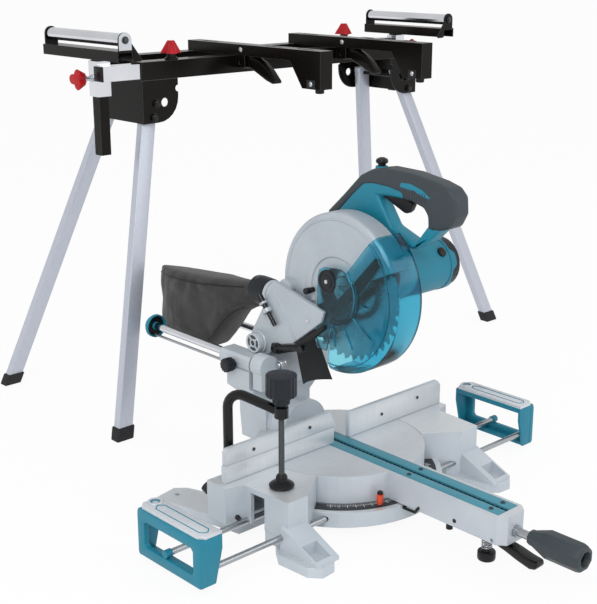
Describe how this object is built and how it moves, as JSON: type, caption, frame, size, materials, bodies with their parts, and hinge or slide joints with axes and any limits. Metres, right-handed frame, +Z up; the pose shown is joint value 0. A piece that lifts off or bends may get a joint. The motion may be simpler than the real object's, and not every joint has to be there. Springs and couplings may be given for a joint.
{
  "type": "mitre saw on stand",
  "caption": "Sliding compound mitre saw with dust bag and vise, in front of its folding leg stand with two work rollers and two mounting arms.",
  "frame": {"origin": "centre of the bounding box on the floor", "axes": "+X along the stand beam and the fence, +Y from the operator to the back, +Z up"},
  "size_m": [1.2682, 1.2518, 0.686],
  "materials": {
    "stand_beam": "satin black paint",
    "left_leg_bracket": "satin black paint",
    "right_leg_bracket": "satin black paint",
    "front_left_leg": "grey paint",
    "rear_left_leg": "grey paint",
    "front_right_leg": "grey paint",
    "rear_right_leg": "grey paint",
    "left_extension": "chrome plate",
    "left_roller_bracket": "satin black paint",
    "left_roller": "chrome plate",
    "left_post_knob": "moulded",
    "left_rail_knob": "moulded",
    "right_extension": "chrome plate",
    "right_roller_bracket": "satin black paint",
    "right_roller": "chrome plate",
    "right_post_knob": "moulded",
    "right_rail_knob": "moulded",
    "left_mount_arm": "satin black paint",
    "left_arm_lever": "moulded",
    "right_mount_arm": "satin black paint",
    "right_arm_lever": "moulded",
    "saw_base": "light grey paint on a casting",
    "right_fence": "light grey paint on a casting",
    "left_fence": "light grey paint on a casting",
    "sliding_fence": "light grey paint on a casting",
    "left_wing": "light grey paint on a casting",
    "left_wing_screw": "moulded",
    "right_wing": "light grey paint on a casting",
    "right_wing_screw": "moulded",
    "turn_base": "machined",
    "kerf_plate": "moulded",
    "mitre_grip": "moulded",
    "levelling_foot": "moulded",
    "detent_lever": "moulded",
    "bevel_arm": "cast and blasted",
    "bevel_knob": "moulded",
    "slide_lock_knob": "moulded",
    "left_slide_pipe": "chrome plate",
    "right_slide_pipe": "chrome plate",
    "carriage": "cast and blasted",
    "blade_case": "light grey paint on a casting",
    "spindle": "machined",
    "saw_blade": "chrome plate",
    "outer_flange": "zinc plate",
    "armature": "machined",
    "stator": "steel stack with copper windings",
    "gear_housing": "cast and blasted",
    "spindle_bearing": "machined",
    "motor_housing": "moulded",
    "motor_end_cap": "moulded",
    "lower_guard": "clear moulded",
    "handle": "moulded",
    "trigger": "moulded",
    "switch": "moulded",
    "lock_off_button": "moulded",
    "dust_nozzle": "moulded",
    "dust_bag": "woven",
    "chip_flap": "moulded",
    "vise_frame": "satin black paint",
    "vise_screw": "moulded"
  },
  "bodies": {
    "frame": {"stand_beam": "stand_beam", "left_leg_bracket": "left_leg_bracket", "right_leg_bracket": "right_leg_bracket", "saw_base": "saw_base", "right_fence": "right_fence", "left_fence": "left_fence"},
    "front_left_leg": {"front_left_leg": "front_left_leg"},
    "rear_left_leg": {"rear_left_leg": "rear_left_leg"},
    "front_right_leg": {"front_right_leg": "front_right_leg"},
    "rear_right_leg": {"rear_right_leg": "rear_right_leg"},
    "left_extension": {"left_extension": "left_extension"},
    "left_roller_post": {"left_roller_bracket": "left_roller_bracket"},
    "left_roller": {"left_roller": "left_roller"},
    "left_post_knob": {"left_post_knob": "left_post_knob"},
    "left_rail_knob": {"left_rail_knob": "left_rail_knob"},
    "right_extension": {"right_extension": "right_extension"},
    "right_roller_post": {"right_roller_bracket": "right_roller_bracket"},
    "right_roller": {"right_roller": "right_roller"},
    "right_post_knob": {"right_post_knob": "right_post_knob"},
    "right_rail_knob": {"right_rail_knob": "right_rail_knob"},
    "left_mount_arm": {"left_mount_arm": "left_mount_arm"},
    "left_arm_lever": {"left_arm_lever": "left_arm_lever"},
    "right_mount_arm": {"right_mount_arm": "right_mount_arm"},
    "right_arm_lever": {"right_arm_lever": "right_arm_lever"},
    "sliding_fence": {"sliding_fence": "sliding_fence"},
    "left_wing": {"left_wing": "left_wing"},
    "left_wing_screw": {"left_wing_screw": "left_wing_screw"},
    "right_wing": {"right_wing": "right_wing"},
    "right_wing_screw": {"right_wing_screw": "right_wing_screw"},
    "turn_base": {"turn_base": "turn_base", "kerf_plate": "kerf_plate"},
    "mitre_grip": {"mitre_grip": "mitre_grip"},
    "levelling_foot": {"levelling_foot": "levelling_foot"},
    "detent_lever": {"detent_lever": "detent_lever"},
    "bevel_arm": {"bevel_arm": "bevel_arm"},
    "bevel_knob": {"bevel_knob": "bevel_knob"},
    "slide_lock_knob": {"slide_lock_knob": "slide_lock_knob"},
    "carriage": {"left_slide_pipe": "left_slide_pipe", "right_slide_pipe": "right_slide_pipe", "carriage": "carriage"},
    "head": {"blade_case": "blade_case", "stator": "stator", "gear_housing": "gear_housing", "spindle_bearing": "spindle_bearing", "motor_housing": "motor_housing", "motor_end_cap": "motor_end_cap", "handle": "handle", "switch": "switch", "dust_nozzle": "dust_nozzle", "dust_bag": "dust_bag", "chip_flap": "chip_flap"},
    "spindle": {"spindle": "spindle", "saw_blade": "saw_blade", "outer_flange": "outer_flange"},
    "armature": {"armature": "armature"},
    "lower_guard": {"lower_guard": "lower_guard"},
    "trigger": {"trigger": "trigger"},
    "lock_off_button": {"lock_off_button": "lock_off_button"},
    "vise": {"vise_frame": "vise_frame"},
    "vise_screw": {"vise_screw": "vise_screw"}
  },
  "joints": [
    {"name": "left_extension_slide", "type": "slide", "parent": "frame", "child": "left_extension", "axis": [-1, 0, 0], "range_m": [0, 0.18]},
    {"name": "left_roller_post_slide", "type": "slide", "parent": "left_extension", "child": "left_roller_post", "axis": [0, 0, 1], "range_m": [0, 0.08]},
    {"name": "left_roller_turn", "type": "hinge", "parent": "left_roller_post", "child": "left_roller", "pos_m": [-0.3101, 0.42515, 0.673], "axis": [0, 1, 0], "continuous": true},
    {"name": "left_post_knob_turn", "type": "hinge", "parent": "left_extension", "child": "left_post_knob", "pos_m": [-0.3416, 0.38895, 0.605], "axis": [-1, 0, 0], "range_deg": [0, 180]},
    {"name": "left_rail_knob_turn", "type": "hinge", "parent": "frame", "child": "left_rail_knob", "pos_m": [-0.1741, 0.36215, 0.635], "axis": [0, 0, 1], "range_deg": [0, 180]},
    {"name": "front_left_leg_turn", "type": "hinge", "parent": "frame", "child": "front_left_leg", "pos_m": [-0.2221, 0.37165, 0.556], "axis": [0, -1, 0], "range_deg": [0, 95]},
    {"name": "rear_left_leg_turn", "type": "hinge", "parent": "frame", "child": "rear_left_leg", "pos_m": [-0.2221, 0.47865, 0.556], "axis": [0, -1, 0], "range_deg": [0, 95]},
    {"name": "left_mount_arm_slide", "type": "slide", "parent": "frame", "child": "left_mount_arm", "axis": [1, 0, 0], "range_m": [-0.11, 0.11]},
    {"name": "left_arm_lever_turn", "type": "hinge", "parent": "left_mount_arm", "child": "left_arm_lever", "pos_m": [-0.0241, 0.33215, 0.617], "axis": [1, 0, 0], "range_deg": [0, 50]},
    {"name": "left_wing_slide", "type": "slide", "parent": "frame", "child": "left_wing", "axis": [1, 0, 0], "range_m": [0, 0.08]},
    {"name": "left_wing_screw_turn", "type": "hinge", "parent": "frame", "child": "left_wing_screw", "pos_m": [-0.5031, -0.13685, 0.066], "axis": [-0.1094, 0.8846, 0.4533], "range_deg": [0, 180]},
    {"name": "right_extension_slide", "type": "slide", "parent": "frame", "child": "right_extension", "axis": [1, 0, 0], "range_m": [0, 0.18]},
    {"name": "right_roller_post_slide", "type": "slide", "parent": "right_extension", "child": "right_roller_post", "axis": [0, 0, 1], "range_m": [0, 0.08]},
    {"name": "right_roller_turn", "type": "hinge", "parent": "right_roller_post", "child": "right_roller", "pos_m": [0.5259, 0.42515, 0.673], "axis": [0, 1, 0], "continuous": true},
    {"name": "right_post_knob_turn", "type": "hinge", "parent": "right_extension", "child": "right_post_knob", "pos_m": [0.5574, 0.46135, 0.605], "axis": [1, 0, 0], "range_deg": [0, 180]},
    {"name": "right_rail_knob_turn", "type": "hinge", "parent": "frame", "child": "right_rail_knob", "pos_m": [0.3899, 0.48815, 0.635], "axis": [0, 0, 1], "range_deg": [0, 180]},
    {"name": "front_right_leg_turn", "type": "hinge", "parent": "frame", "child": "front_right_leg", "pos_m": [0.4379, 0.37165, 0.556], "axis": [0, 1, 0], "range_deg": [0, 82]},
    {"name": "rear_right_leg_turn", "type": "hinge", "parent": "frame", "child": "rear_right_leg", "pos_m": [0.4379, 0.47865, 0.556], "axis": [0, 1, 0], "range_deg": [0, 82]},
    {"name": "right_mount_arm_slide", "type": "slide", "parent": "frame", "child": "right_mount_arm", "axis": [1, 0, 0], "range_m": [-0.11, 0.11]},
    {"name": "right_arm_lever_turn", "type": "hinge", "parent": "right_mount_arm", "child": "right_arm_lever", "pos_m": [0.2399, 0.33215, 0.617], "axis": [1, 0, 0], "range_deg": [0, 50]},
    {"name": "right_wing_slide", "type": "slide", "parent": "frame", "child": "right_wing", "axis": [-1, 0, 0], "range_m": [0, 0.08]},
    {"name": "right_wing_screw_turn", "type": "hinge", "parent": "frame", "child": "right_wing_screw", "pos_m": [-0.0451, -0.13685, 0.066], "axis": [0.1094, 0.8846, 0.4533], "range_deg": [0, 180]},
    {"name": "sliding_fence_slide", "type": "slide", "parent": "frame", "child": "sliding_fence", "axis": [-1, 0, 0], "range_m": [0, 0.06]},
    {"name": "turn_base_turn", "type": "hinge", "parent": "frame", "child": "turn_base", "pos_m": [-0.2741, -0.17285, 0.0445], "axis": [0, 0, 1], "range_deg": [-47, 47]},
    {"name": "mitre_grip_turn", "type": "hinge", "parent": "turn_base", "child": "mitre_grip", "pos_m": [-0.2741, -0.51285, 0.062], "axis": [0, 1, 0], "range_deg": [0, 90]},
    {"name": "levelling_foot_turn", "type": "hinge", "parent": "turn_base", "child": "levelling_foot", "pos_m": [-0.2741, -0.46585, 0.014], "axis": [0, 0, 1], "range_deg": [0, 180]},
    {"name": "detent_lever_turn", "type": "hinge", "parent": "turn_base", "child": "detent_lever", "pos_m": [-0.2741, -0.49385, 0.049], "axis": [-1, 0, 0], "range_deg": [0, 8], "stiffness_Nm_per_rad": 0.6, "springref_deg": -8.59},
    {"name": "bevel_arm_turn", "type": "hinge", "parent": "turn_base", "child": "bevel_arm", "pos_m": [-0.2741, -0.06185, 0.087], "axis": [0, 1, 0], "range_deg": [-33, 5]},
    {"name": "bevel_knob_turn", "type": "hinge", "parent": "bevel_arm", "child": "bevel_knob", "pos_m": [-0.2741, 0.00915, 0.087], "axis": [0, 1, 0], "range_deg": [0, 180]},
    {"name": "slide_lock_knob_turn", "type": "hinge", "parent": "bevel_arm", "child": "slide_lock_knob", "pos_m": [-0.3541, -0.00885, 0.191], "axis": [1, 0, 0], "range_deg": [0, 180]},
    {"name": "carriage_slide", "type": "slide", "parent": "bevel_arm", "child": "carriage", "axis": [0, -1, 0], "range_m": [0, 0.19]},
    {"name": "head_turn", "type": "hinge", "parent": "carriage", "child": "head", "pos_m": [-0.2741, -0.02885, 0.224], "axis": [1, 0, 0], "range_deg": [0, 46], "stiffness_Nm_per_rad": 16, "springref_deg": -54.43},
    {"name": "spindle_turn", "type": "hinge", "parent": "head", "child": "spindle", "pos_m": [-0.2741, -0.18485, 0.334], "axis": [1, 0, 0], "continuous": true},
    {"name": "armature_turn", "type": "hinge", "parent": "head", "child": "armature", "pos_m": [-0.2741, -0.22885, 0.359], "axis": [1, 0, 0], "continuous": true},
    {"name": "lower_guard_turn", "type": "hinge", "parent": "head", "child": "lower_guard", "pos_m": [-0.2741, -0.18485, 0.334], "axis": [-1, 0, 0], "range_deg": [0, 106]},
    {"name": "trigger_turn", "type": "hinge", "parent": "head", "child": "trigger", "pos_m": [-0.2271, -0.21285, 0.487], "axis": [-1, 0, 0], "range_deg": [0, 6], "stiffness_Nm_per_rad": 1.5, "springref_deg": -5.73},
    {"name": "lock_off_button_slide", "type": "slide", "parent": "head", "child": "lock_off_button", "axis": [0, 0, -1], "range_m": [0, 0.003], "stiffness_N_per_m": 400, "springref_m": -0.002},
    {"name": "vise_turn", "type": "hinge", "parent": "frame", "child": "vise", "pos_m": [-0.4811, -0.15285, 0.087], "axis": [0, 0, 1], "range_deg": [-20, 20]},
    {"name": "vise_screw_turn", "type": "hinge", "parent": "vise", "child": "vise_screw", "pos_m": [-0.4501, -0.23285, 0.209], "axis": [0, 0, 1], "range_deg": [0, 360]}
  ],
  "couplings": [
    {"joint": "lower_guard_turn", "follows": "head_turn", "ratio": 2.28},
    {"joint": "armature_turn", "follows": "spindle_turn", "ratio": -3.0769}
  ]
}
